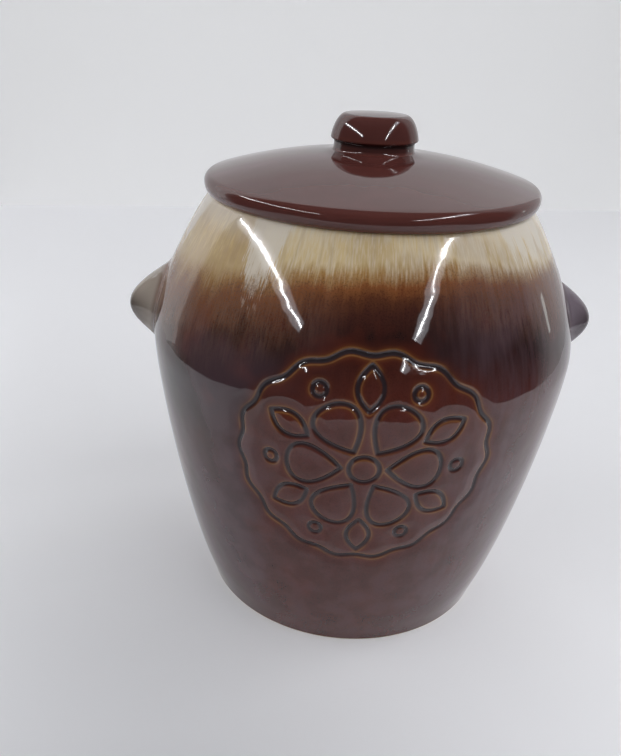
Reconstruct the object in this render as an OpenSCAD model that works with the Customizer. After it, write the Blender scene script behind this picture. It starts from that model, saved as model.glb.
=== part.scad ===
// Lidded stoneware biscuit jar: a slip-cast pot with two ear-shaped lugs,
// and a loose domed lid with a button knob.
// Millimetres, +Z up. The origin is the middle of the foot ring's underside.
// The front of the jar faces -Y and the lugs lie along X.

/* [Jar body] */
// Height from the table to the flat top of the rim
body_h = 211.5; // [195:0.5:235]
// Diameter of the foot where it stands on the table
foot_d = 157; // [145:0.5:159]
// Height of the curve that rounds the foot into the wall
foot_round = 6.3; // [3:0.1:9]
// Width of the ring that the jar stands on
foot_ring_w = 7; // [5:0.5:12]
// Depth of the hollow inside the foot ring
foot_recess = 3; // [1.5:0.5:5]
// Diameter at the bottom of the wall, just above the foot
base_d = 159.8; // [158:0.2:176]
// Lean of the wall at the bottom, from upright
base_lean = 22; // [12:0.5:26]
// Fullness of the wall just above the foot
base_fullness = 34.6; // [25:0.2:45]
// Diameter of the belly at its widest
belly_d = 212; // [200:0.5:226]
// Height of the widest place
belly_z = 143; // [130:0.5:152]
// Fullness of the wall just below the belly
flank_fullness = 20.9; // [15:0.1:35]
// Fullness of the shoulder just above the belly
shoulder_fullness = 20.7; // [12:0.1:28]
// Fullness of the shoulder just below the rim
collar_fullness = 10.7; // [6:0.1:18]
// Lean of the shoulder where it meets the rim, from upright
collar_lean = 44.4; // [34:0.2:54]
// Outer diameter of the rim
rim_d = 153.4; // [146:0.2:154]
// Thickness of the cast wall
wall = 6.5; // [5:0.1:8]
// Thickness of the floor
floor_t = 7; // [5:0.5:10]
// Radius inside, between floor and wall
floor_round = 14; // [8:0.5:20]

/* [Mouth] */
// Diameter of the mouth
mouth_d = 133; // [126:0.5:136]
// Height of the upright face inside the mouth
throat_h = 4; // [3:0.5:5]
// Rounding of the rim's two edges
rim_round = 1.4; // [0.8:0.1:1.8]

/* [Lugs] */
// How far a lug's tip stands out from the wall
lug_reach = 14.6; // [9:0.1:20]
// Height of a lug from top to bottom
lug_h = 40.4; // [34:0.2:50]
// Height of a lug's middle above the belly line
lug_rise = 10.2; // [-4:0.2:12]
// Thickness of a lug at its middle, halfway out
lug_t = 17.5; // [13:0.5:24]
// Thickness of a lug at its two ends
lug_end_t = 10; // [6:0.5:12]
// Size of the soft corner where a lug's ends meet the wall
lug_blend = 2.2; // [0.8:0.1:2.6]

/* [Lid] */
// Diameter of the lid over its rolled edge
lid_d = 160; // [157:0.5:166]
// Diameter of the flat flange that sits on the rim
seat_d = 154.4; // [154:0.2:156]
// Radius of the rolled edge
edge_round = 4; // [3:0.1:5]
// Radius of the dome
dome_r = 255; // [225:1:280]
// Height of the dome's crown above the seat
crown_h = 20.7; // [20:0.1:25]
// Thickness of the cast lid
lid_wall = 6; // [4.5:0.1:7]
// Depth of the locating ring below the seat
ring_depth = 9; // [6:0.5:14]
// Thickness of the locating ring
ring_t = 5; // [4:0.5:7]
// Gap all round between the locating ring and the mouth
ring_gap = 1.5; // [0.8:0.1:2.5]
// Size of the cove between the locating ring and the dome's underside
ring_cove = 3; // [1:0.5:5]
// Diameter at which the lid starts to rise to the knob
flare_d = 56; // [50:1:70]
// Height of that rise where the knob stands
flare_h = 0.4; // [0.2:0.1:1]

/* [Knob] */
// Diameter of the knob over its lip
knob_d = 41.5; // [40:0.5:48]
// Height of the knob above the lid
knob_h = 17.1; // [15:0.1:22]
// Diameter of the knob's foot on the lid
knob_foot_d = 40.4; // [39.4:0.2:43]
// Height of the cove between the foot and the waist
knob_foot_cove = 2.5; // [1.5:0.1:3]
// Diameter of the waist below the lip
knob_waist_d = 38.2; // [30:0.2:38.4]
// Height of the lip above the lid
knob_lip_z = 5.8; // [5.5:0.1:8]
// Rounding of the lip's lower edge
knob_lip_round = 0.8; // [0.4:0.1:0.8]
// Height of the cove under the lip
knob_undercut = 1.4; // [0.6:0.1:1.6]
// Lean of the knob's side above the lip, from upright
knob_lean = 10; // [0:1:20]
// Fullness of the knob's side
knob_fullness = 6.4; // [4:0.1:8]
// Fullness of the knob's top edge
knob_brow = 2.8; // [1.5:0.1:5]
// Diameter of the flat on top of the knob
knob_top_d = 28; // [20:0.5:32]
// Height of the crown on that flat
knob_crown = 0.6; // [0.2:0.1:1.5]

/* [Hidden] */
$fn = 120;

// Glaze colours
glaze_dark = "#4a2320";
glaze_lug = "#5c3a30";

// Points on each long curve and each small rounding of an outline
curve_steps = 14;
round_steps = 5;

foot_r = foot_d / 2;
base_r = base_d / 2;
belly_r = belly_d / 2;
rim_r = rim_d / 2;
mouth_r = mouth_d / 2;
floor_z = foot_recess + floor_t;

lid_r = lid_d / 2;
seat_r = seat_d / 2;
ring_r = mouth_r - ring_gap;
ring_in_r = ring_r - ring_t;
dome_mid_z = body_h + crown_h - dome_r;
// The rolled edge is tangent to the dome and to the lid's widest circle
edge_mid_r = lid_r - edge_round;
edge_mid_z = dome_mid_z + sqrt(pow(dome_r - edge_round, 2) - pow(edge_mid_r, 2));

knob_lip_r = knob_d / 2;
knob_foot_r = knob_foot_d / 2;
knob_waist_r = knob_waist_d / 2;
knob_top_r = knob_top_d / 2;
// Round flat on top of the rise, where the knob is stuck on
pad_margin = 0.1;
pad_r = knob_foot_r + pad_margin;
pad_z = dome_z(pad_r) + flare_h;
flare_r = flare_d / 2;
flare_steps = 6;

// Each lug is lofted from rows of points that start and end inside the wall
lug_z = belly_z + lug_rise;
lug_rows = 22;
lug_columns = 24;
// Half width of a row, as a share of the lug's thickness
lug_spread = 1;
// Squareness of the lug's level section: 2 is a bell, more is a fin
lug_power = 3;
// How deep the edge of the swelling and the back of the loft lie in the wall
lug_bed = 0.3;
lug_root = 5;
// Shortest step between two neighbouring points of an outline
least_step = 1;

// Height of the dome's top face at a radius
function dome_z(r) = dome_mid_z + sqrt(dome_r * dome_r - r * r);

// Rise of the lid above its dome at a radius, steeper towards the knob
function flare(r) = flare_h * pow((flare_r - r) / (flare_r - pad_r), 3);

// Arc about a centre, from angle a to angle b
function arc(mid, r, a, b, n = round_steps) =
    [for (i = [0:n]) let (t = a + (b - a) * i / n) mid + r * [cos(t), sin(t)]];

// Quarter of an ellipse that leaves p level and reaches q upright
function quarter(p, q, n = round_steps) =
    [for (i = [0:n]) let (t = 90 * i / n)
        [p[0] + (q[0] - p[0]) * sin(t), p[1] + (q[1] - p[1]) * (1 - cos(t))]];

// The points of a path in the opposite order
function backwards(path) = [for (i = [len(path) - 1:-1:0]) path[i]];

// Cubic curve from p to s with handles q and r
function bezier(p, q, r, s, n = curve_steps) =
    [for (i = [0:n]) let (t = i / n, u = 1 - t)
        u * u * u * p + 3 * u * u * t * q + 3 * u * t * t * r + t * t * t * s];

// Unit vector to the left of a path at its point i
function left_of(path, i) =
    let (d = path[min(i + 1, len(path) - 1)] - path[max(i - 1, 0)]) [-d[1], d[0]] / norm(d);

// The same path moved to its left
function beside(path, gap) = [for (i = [0:len(path) - 1]) path[i] + gap * left_of(path, i)];

// Outer face of the wall, from the foot up to the rim
wall_path =
    let (bottom = [base_r, foot_round], belly = [belly_r, belly_z], top = [rim_r, body_h],
         low = bezier(bottom, bottom + base_fullness * [sin(base_lean), cos(base_lean)],
                      belly - [0, flank_fullness], belly),
         high = bezier(belly, belly + [0, shoulder_fullness],
                       top + collar_fullness * [sin(collar_lean), -cos(collar_lean)], top))
    concat(low, [for (i = [1:curve_steps]) high[i]]);

// Outer face of the foot, from the table up to the wall
foot_path = quarter([foot_r, 0], [base_r, foot_round]);

// Radius of the wall's outer face at a height
function wall_r(z) = lookup(z, [for (p = wall_path) [p[1], p[0]]]);

// Half section of the jar body, anticlockwise from the foot
function jar_section() =
    let (rim_z = body_h - rim_round,
         lip_mid = [rim_r - rim_round * (1 - sin(collar_lean)) / cos(collar_lean), rim_z],
         lip_low = rim_z + rim_round * sin(collar_lean),
         bend_top = floor_z + floor_round * (1 - sin(base_lean)),
         inside = [for (p = beside(wall_path, wall))
             if (p[1] > bend_top + least_step && p[1] < body_h - throat_h && p[0] > mouth_r) p],
         run = (inside[0][1] - bend_top) / cos(base_lean),
         bend_mid = [inside[0][0] - run * sin(base_lean) - floor_round * cos(base_lean),
                     floor_z + floor_round])
    concat(
        foot_path,
        [for (i = [1:len(wall_path) - 2]) if (wall_path[i][1] < lip_low) wall_path[i]],
        arc(lip_mid, rim_round, collar_lean, 90),
        arc([mouth_r + rim_round, rim_z], rim_round, 90, 180),
        [[mouth_r, body_h - throat_h]],
        backwards(inside),
        arc(bend_mid, floor_round, -base_lean, -90),
        [[0, floor_z], [0, foot_recess], [foot_r - foot_ring_w - foot_recess, foot_recess]],
        [[foot_r - foot_ring_w, 0]]);

// Slip-cast pot with foot ring and open mouth
module jar_body() {
    color(glaze_dark)
        rotate_extrude() polygon(jar_section());
}

// Everything inside the wall's outer face
module wall_solid() {
    rotate_extrude() polygon(concat([[0, 0]], foot_path, wall_path, [[0, body_h]]));
}

// How far a lug stands out of the wall, at a height and at a distance from its middle plane
function lug_out(y, z) =
    let (bow = cos(90 * abs(z - lug_z) / (lug_h / 2)),
         arch = bow * (lug_reach + lug_bed),
         half_t = (lug_end_t + (lug_t - lug_end_t) * max(0, bow)) / 2,
         fade = ln(2) * pow(abs(y) / half_t, lug_power))
    (arch + sqrt(arch * arch + lug_blend * lug_blend)) / 2 * exp(-fade) - lug_bed;

// Ear lofted upwards through level sections that swell out of the wall, on the side of +X
module lug() {
    half_w = lug_spread * lug_t;
    half_h = lug_h / 2 + 2 * lug_blend;
    row_size = lug_columns + 3;
    rows = [for (j = [0:lug_rows])
        let (z = lug_z + half_h * (2 * j / lug_rows - 1), back = wall_r(z) - lug_root)
        concat(
            [for (i = [0:lug_columns])
                let (y = half_w * (2 * i / lug_columns - 1))
                [sqrt(pow(wall_r(z), 2) - y * y) + lug_out(y, z), y, z]],
            [[back, half_w, z], [back, -half_w, z]])];
    bottom = [for (i = [row_size - 1:-1:0]) i];
    top = [for (i = [0:row_size - 1]) lug_rows * row_size + i];
    sides = [for (j = [0:lug_rows - 1], i = [0:row_size - 1])
        let (a = j * row_size + i, b = j * row_size + (i + 1) % row_size)
        each [[a, a + row_size, b + row_size], [a, b + row_size, b]]];
    color(glaze_lug)
        difference() {
            polyhedron([for (row = rows) each row], concat([bottom, top], sides));
            wall_solid();
        }
}

// Lug on the side of -X
module lug_left() {
    mirror([1, 0, 0]) lug();
}

// Lug on the side of +X
module lug_right() {
    lug();
}

// Half section of the lid, anticlockwise from the locating ring
function lid_section() =
    let (cove_r = ring_in_r - ring_cove,
         under_r = dome_r - lid_wall,
         under_turn = asin(cove_r / under_r),
         cove_z = dome_mid_z + under_r * cos(under_turn),
         top_turn = asin(edge_mid_r / (dome_r - edge_round)))
    concat(
        arc([ring_in_r + ring_t / 2, body_h - ring_depth + ring_t / 2], ring_t / 2, 180, 360),
        [[ring_r, body_h]],
        quarter([seat_r, body_h], [lid_r, edge_mid_z]),
        [for (p = arc([edge_mid_r, edge_mid_z], edge_round, 0, 90 - top_turn)) if (p[0] < lid_r) p],
        [for (i = [1:curve_steps])
            let (r = dome_r * sin(top_turn * (1 - i / curve_steps)))
            if (r > flare_r + least_step) [r, dome_z(r)]],
        [for (i = [0:flare_steps]) let (r = flare_r + (pad_r - flare_r) * i / flare_steps)
            [r, dome_z(r) + flare(r)]],
        [[0, pad_z]],
        [for (i = [0:curve_steps - 1]) let (t = under_turn * i / curve_steps)
            [under_r * sin(t), dome_mid_z + under_r * cos(t)]],
        quarter([cove_r, cove_z], [ring_in_r, cove_z - ring_cove]));

// Domed lid with its seat flange and locating ring
module lid() {
    color(glaze_dark)
        rotate_extrude() polygon(lid_section());
}

// Half section of the knob: foot, waist, lip and cushion top with leaning sides
function knob_section() =
    let (lip_z = pad_z + knob_lip_z,
         top = [knob_top_r, pad_z + knob_h - knob_crown],
         lip_mid = [knob_lip_r - knob_lip_round, lip_z],
         brow = lip_mid + knob_lip_round * [cos(knob_lean), sin(knob_lean)])
    concat(
        [[0, pad_z]],
        quarter([knob_foot_r, pad_z], [knob_waist_r, pad_z + knob_foot_cove]),
        backwards(quarter([knob_lip_r - knob_lip_round, lip_z - knob_lip_round],
                          [knob_waist_r, lip_z - knob_lip_round - knob_undercut])),
        [for (p = arc(lip_mid, knob_lip_round, -90, knob_lean))
            if (p[1] > lip_z - knob_lip_round && p[1] < brow[1]) p],
        bezier(brow, brow + knob_fullness * [-sin(knob_lean), cos(knob_lean)],
               top + [knob_brow, 0], top),
        [for (i = [1:round_steps]) let (s = 1 - i / round_steps)
            [knob_top_r * s, top[1] + knob_crown * (1 - s * s)]]);

// Button knob stuck on the crown of the lid
module lid_knob() {
    color(glaze_dark)
        rotate_extrude() polygon(knob_section());
}

jar_body();
lug_left();
lug_right();
lid();
lid_knob();
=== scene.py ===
"""Stoneware biscuit jar with two ear lugs and a knobbed lid, in brown drip glaze.

Every thrown or cast form is one outline that a Geometry Nodes tree turns about
the jar's axis. A second tree presses the flower panel into the front of the
wall, and the lugs are swollen out of the wall in mesh code. All lengths are in
metres, with +Z up and the front of the jar towards -Y.
"""

import logging
import math
from dataclasses import dataclass, field
from enum import Enum
from typing import Any

import bmesh
import bpy
import numpy as np
from mathutils import Matrix, Vector

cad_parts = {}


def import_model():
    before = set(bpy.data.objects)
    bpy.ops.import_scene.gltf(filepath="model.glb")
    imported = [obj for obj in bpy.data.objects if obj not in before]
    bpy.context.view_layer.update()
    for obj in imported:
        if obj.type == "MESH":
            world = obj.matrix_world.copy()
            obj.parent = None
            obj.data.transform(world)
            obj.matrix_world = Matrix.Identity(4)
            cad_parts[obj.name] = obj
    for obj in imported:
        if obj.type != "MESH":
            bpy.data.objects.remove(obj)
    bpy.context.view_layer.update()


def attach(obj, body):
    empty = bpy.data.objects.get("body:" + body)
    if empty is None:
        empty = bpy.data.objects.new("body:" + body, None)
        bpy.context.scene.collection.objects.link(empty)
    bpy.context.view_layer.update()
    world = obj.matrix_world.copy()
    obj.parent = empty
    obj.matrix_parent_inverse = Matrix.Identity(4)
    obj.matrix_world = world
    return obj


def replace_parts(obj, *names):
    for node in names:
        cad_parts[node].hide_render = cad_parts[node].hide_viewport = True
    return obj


LOG = logging.getLogger("biscuit_jar")

Point = tuple[float, float]
Colour = tuple[float, float, float]
Values = dict[str, Any]
Tree = bpy.types.NodeTree
Node = bpy.types.Node
Socket = bpy.types.NodeSocket
Piece = bpy.types.Object
Material = bpy.types.Material


class Side(Enum):
    """The side of the jar that a lug stands on, as the sign of X."""

    LEFT = -1
    RIGHT = 1


def linear(colour: str) -> tuple[float, float, float, float]:
    """Turns an sRGB hex colour to linear RGBA.

    Args:
        colour: The colour as "#rrggbb".

    Returns:
        The linear red, green, blue and an alpha of 1.
    """
    parts = [int(colour[i : i + 2], 16) / 255 for i in (1, 3, 5)]
    red, green, blue = (p / 12.92 if p <= 0.04045 else ((p + 0.055) / 1.055) ** 2.4 for p in parts)
    return red, green, blue, 1.0


def add(tree: Tree, kind: str, sockets: dict[str | int, Any] | None = None, **settings: Any) -> Node:
    """Adds one node to a tree.

    Args:
        tree: The shader or geometry tree.
        kind: The node's type.
        sockets: What goes into its inputs, by name or place: a value, a socket
            or a node to link, or a list of nodes for an input that takes several.
        **settings: The node's own properties.

    Returns:
        The new node.
    """
    node = tree.nodes.new(kind)
    for name, value in settings.items():
        setattr(node, name, value)
    free = [s for s in node.inputs if s.enabled]
    for key, value in (sockets or {}).items():
        socket = free[key] if isinstance(key, int) else next(s for s in free if s.name == key)
        for item in value if isinstance(value, list) else [value]:
            if isinstance(item, Node):
                item = next(s for s in item.outputs if s.enabled)
            if isinstance(item, Socket):
                tree.links.new(item, socket)
            else:
                socket.default_value = item
    return node


def paint_ramp(node: Node, stops: tuple[tuple[float, str, float], ...]) -> None:
    """Sets a colour ramp's stops, each a place, an sRGB colour and an opacity."""
    elements = node.color_ramp.elements
    while len(elements) > 1:
        elements.remove(elements[-1])
    for i, (place, colour, opacity) in enumerate(stops):
        element = elements[0] if i == 0 else elements.new(place)
        element.position = place
        element.color = (*linear(colour)[:3], opacity)


@dataclass(frozen=True)
class Zone:
    """Part of a surface, found from a value such as a height or a noise."""

    name: str
    follows: str
    # Levels of the value where the zone starts and where it is full, and what is left outside
    start: float
    full: float
    outside: float = 0.0
    curve: str = "SMOOTHSTEP"

    def find(self, tree: Tree, values: Values) -> Node:
        """Adds the node that gives 1 inside the zone.

        Args:
            tree: The tree.
            values: The values that zones follow, by name.

        Returns:
            The node.
        """
        sockets = {
            "Value": values[self.follows],
            "From Min": self.start,
            "From Max": self.full,
            "To Min": self.outside,
        }
        return add(tree, "ShaderNodeMapRange", sockets, interpolation_type=self.curve)


@dataclass(frozen=True)
class Tint:
    """Colour laid over a surface where a value passes from one level to another."""

    colour: str
    follows: str
    start: float
    full: float
    # Opacity of the full tint, which is multiplied with each value named as a limit
    most: float
    limits: tuple[str, ...] = ()


def lay(tree: Tree, colour: Any, tints: tuple[Tint, ...], values: Values) -> Any:
    """Lays tints over a colour, one after another.

    Args:
        tree: The shader tree.
        colour: The colour below.
        tints: The tints, the lowest first.
        values: The values that they follow, by name.

    Returns:
        The node of the new colour.
    """
    for tint in tints:
        sockets = {
            "Value": values[tint.follows],
            "From Min": tint.start,
            "From Max": tint.full,
            "To Max": tint.most,
        }
        share = add(tree, "ShaderNodeMapRange", sockets, interpolation_type="SMOOTHSTEP")
        for limit in tint.limits:
            share = add(tree, "ShaderNodeMath", {0: share, 1: values[limit]}, operation="MULTIPLY")
        mix = {"Factor": share, "A": colour, "B": linear(tint.colour)}
        colour = add(tree, "ShaderNodeMix", mix, data_type="RGBA")
    return colour


def put(name: str, data: bpy.types.ID) -> Piece:
    """Adds an object with this mesh, light or camera to the scene."""
    piece = bpy.data.objects.new(name, data)
    bpy.context.scene.collection.objects.link(piece)
    return piece


def mark_points(mesh: bpy.types.Mesh, mark: str, values: Any) -> None:
    """Gives each point of a mesh its number, as a named attribute."""
    layer = mesh.attributes.new(mark, "FLOAT", "POINT")
    layer.data.foreach_set("value", np.array(values, np.float32))


def beyond(point: Point, reach: float, lean: float) -> Point:
    """The point that lies so far above another, in a way that leans outwards from upright."""
    return point[0] + reach * math.sin(lean), point[1] + reach * math.cos(lean)


def arc(mid: Point, radius: float, start: float, end: float, steps: int) -> list[Point]:
    """Points on a circle about mid, from start to end in degrees."""
    turns = np.radians(np.linspace(start, end, steps + 1))
    return [(mid[0] + radius * math.cos(t), mid[1] + radius * math.sin(t)) for t in turns]


def quarter(low: Point, high: Point, steps: int) -> list[Point]:
    """Quarter of an ellipse that leaves the first point level and reaches the second upright."""
    turns = np.radians(np.linspace(0, 90, steps + 1))
    return [
        (low[0] + (high[0] - low[0]) * math.sin(t), low[1] + (high[1] - low[1]) * (1 - math.cos(t)))
        for t in turns
    ]


def bezier(ends: list[Point], steps: int) -> np.ndarray:
    """Points on the cubic curve with these four control points."""
    t = np.linspace(0, 1, steps + 1)[:, None]
    p, q, r, s = (np.array(e) for e in ends)
    return (1 - t) ** 3 * p + 3 * (1 - t) ** 2 * t * q + 3 * (1 - t) * t**2 * r + t**3 * s


@dataclass
class Outline:
    """Half section of a thrown form, as (radius, height) points from axis to axis.

    The solid lies to the left of the path. The marks give one number to each
    point, and become attributes of the mesh.
    """

    points: list[Point]
    bare: list[bool]
    inside: list[bool]
    pool_reach: float = 0.0022

    def pool(self) -> np.ndarray:
        """Tells where the glaze lies thick or thin.

        Molten glaze draws back from a sharp edge and gathers in a hollow, so
        this follows how far the path turns within a short reach.

        Returns:
            One number for each point, from -1 on an edge to 1 in a hollow.
        """
        path = np.array(self.points)
        step = np.hypot(*np.diff(path, axis=0).T)
        along = np.concatenate([[0.0], np.cumsum(step)])
        before, after = (
            np.stack([np.interp(along + d, along, path[:, i]) for i in (0, 1)], axis=1)
            for d in (-self.pool_reach, self.pool_reach)
        )
        came, goes = path - before, after - path
        turned = np.arctan2(
            came[:, 0] * goes[:, 1] - came[:, 1] * goes[:, 0], (came * goes).sum(axis=1)
        )
        return np.clip(-turned, -1, 1)

    def mesh(self, name: str) -> bpy.types.Mesh:
        """Makes a mesh of loose points that carries the marks as attributes."""
        mesh = bpy.data.meshes.new(name)
        mesh.from_pydata([(0, -r, z) for r, z in self.points], [], [])
        marks = {"pool": self.pool(), "bare": self.bare, "inside": self.inside}
        for mark, values in marks.items():
            mark_points(mesh, mark, values)
        return mesh


def geometry_tree(name: str, inputs: dict[str, str]) -> tuple[Tree, Node]:
    """Starts a Geometry Nodes tree.

    Args:
        name: The tree's name.
        inputs: The named inputs after the geometry, with their socket types.

    Returns:
        The tree and its group input node.
    """
    tree = bpy.data.node_groups.new(name, "GeometryNodeTree")
    for way in ("INPUT", "OUTPUT"):
        tree.interface.new_socket("Geometry", in_out=way, socket_type="NodeSocketGeometry")
    for label, kind in inputs.items():
        tree.interface.new_socket(label, in_out="INPUT", socket_type=kind)
    return tree, add(tree, "NodeGroupInput")


def grow(name: str, mesh: bpy.types.Mesh, tree: Tree, values: Values) -> Piece:
    """Runs a Geometry Nodes tree on a mesh and keeps the result as a plain mesh.

    Args:
        name: The piece's name.
        mesh: What the tree starts from.
        tree: The tree to run.
        values: The tree's inputs, by name.

    Returns:
        The finished piece, with no modifier left on it.
    """
    piece = put(name, mesh)
    modifier = piece.modifiers.new(tree.name, "NODES")
    modifier.node_group = tree
    for socket in tree.interface.items_tree:
        if socket.in_out == "INPUT" and socket.name in values:
            modifier[socket.identifier] = values[socket.name]
    graph = bpy.context.evaluated_depsgraph_get()
    grown = bpy.data.meshes.new_from_object(piece.evaluated_get(graph), depsgraph=graph)
    piece.modifiers.remove(modifier)
    piece.data = grown
    return piece


def dress(tree: Tree, form: Node, given: bpy.types.NodeOutputs) -> None:
    """Ends a tree: the form becomes plain mesh, glazed where it isn't marked bare.

    Args:
        tree: The geometry tree.
        form: The node that gives the form.
        given: The outputs of the group input node, with the two finishes.
    """
    form = add(tree, "GeometryNodeRealizeInstances", {0: form})
    form = add(tree, "GeometryNodeSetMaterial", {0: form, "Material": given["Glaze"]})
    read = add(tree, "GeometryNodeInputNamedAttribute", {"Name": "bare"}, data_type="FLOAT")
    bare = add(tree, "FunctionNodeCompare", {"A": read, "B": 0.99})
    form = add(tree, "GeometryNodeSetMaterial", {0: form, "Selection": bare, "Material": given["Clay"]})
    add(tree, "NodeGroupOutput", {0: form})


@dataclass(frozen=True)
class Wheel:
    """The potter's wheel: a tree that turns an outline about the jar's axis."""

    marks: tuple[str, ...] = ("pool", "bare", "inside")
    crease: float = math.radians(38)
    weld: float = 1e-6

    def tree(self) -> Tree:
        """Builds the tree.

        The front sector may have its own share of the columns, so that what is
        pressed into it has a finer mesh than the rest.

        Returns:
            The tree, with the count of columns, the front sector's width and
            its share, and the two finishes as named inputs.
        """
        tree, given = geometry_tree(
            "Thrown form",
            {
                "Columns": "NodeSocketInt",
                "Front Sector": "NodeSocketFloat",
                "Front Share": "NodeSocketFloat",
                "Glaze": "NodeSocketMaterial",
                "Clay": "NodeSocketMaterial",
            },
        )
        g = given.outputs
        size = add(tree, "GeometryNodeAttributeDomainSize", {0: g["Geometry"]})
        across = add(tree, "FunctionNodeIntegerMath", {0: g["Columns"], 1: 1}, operation="ADD")
        grid = add(tree, "GeometryNodeMeshGrid", {"Vertices X": across, "Vertices Y": size.outputs[0]})
        index = add(tree, "GeometryNodeInputIndex")
        place = {0: index, 1: size.outputs[0]}
        row = add(tree, "FunctionNodeIntegerMath", place, operation="MODULO")
        column = add(tree, "FunctionNodeIntegerMath", place, operation="DIVIDE_FLOOR")
        share = add(tree, "ShaderNodeMath", {0: column, 1: g["Columns"]}, operation="DIVIDE")
        half = add(tree, "ShaderNodeMath", {0: g["Front Sector"], 1: 0.5}, operation="MULTIPLY")
        least = add(tree, "ShaderNodeMath", {0: half, 1: -1.0}, operation="MULTIPLY")
        rest = add(tree, "ShaderNodeMath", {0: 2 * math.pi, 1: g["Front Sector"]}, operation="SUBTRACT")
        front = add(
            tree,
            "ShaderNodeMapRange",
            {"Value": share, "From Max": g["Front Share"], "To Min": least, "To Max": half},
        )
        behind = add(
            tree, "ShaderNodeMapRange", {"Value": share, "From Min": g["Front Share"], "To Max": rest}
        )
        turn = add(tree, "ShaderNodeMath", {0: front, 1: behind}, operation="ADD")
        position = add(tree, "GeometryNodeInputPosition")
        point = add(
            tree,
            "GeometryNodeSampleIndex",
            {0: g["Geometry"], 1: position, "Index": row},
            data_type="FLOAT_VECTOR",
        )
        turned = add(
            tree, "ShaderNodeVectorRotate", {"Vector": point, "Angle": turn}, rotation_type="Z_AXIS"
        )
        form = add(tree, "GeometryNodeSetPosition", {0: grid, "Position": turned})
        for mark in self.marks:
            read = add(tree, "GeometryNodeInputNamedAttribute", {"Name": mark}, data_type="FLOAT")
            value = add(
                tree,
                "GeometryNodeSampleIndex",
                {0: g["Geometry"], 1: read, "Index": row},
                data_type="FLOAT",
            )
            form = add(
                tree,
                "GeometryNodeStoreNamedAttribute",
                {0: form, "Name": mark, "Value": value},
                data_type="FLOAT",
            )
        form = add(tree, "GeometryNodeMergeByDistance", {0: form, "Distance": self.weld})
        form = add(tree, "GeometryNodeSetShadeSmooth", {0: form, "Shade Smooth": True})
        bend = add(tree, "GeometryNodeInputMeshEdgeAngle")
        sharp = add(tree, "FunctionNodeCompare", {"A": bend, "B": self.crease})
        form = add(
            tree,
            "GeometryNodeSetShadeSmooth",
            {0: form, "Selection": sharp, "Shade Smooth": False},
            domain="EDGE",
        )
        dress(tree, form, g)
        return tree


@dataclass(frozen=True)
class Finish:
    """A finish, whose nodes read the coordinates of the piece that it is on."""

    name: str

    def paint(self, tree: Tree, place: Socket) -> Node:
        """Adds the finish's own nodes.

        Args:
            tree: The material's tree.
            place: The socket that gives the place on the piece, in metres.

        Returns:
            The node of the finished surface.
        """
        raise NotImplementedError

    def material(self) -> Material:
        """Builds the material."""
        material = bpy.data.materials.new(self.name)
        material.use_nodes = True
        tree = material.node_tree
        tree.nodes.clear()
        place = add(tree, "ShaderNodeTexCoord").outputs["Object"]
        add(tree, "ShaderNodeOutputMaterial", {"Surface": self.paint(tree, place)})
        return material


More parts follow.
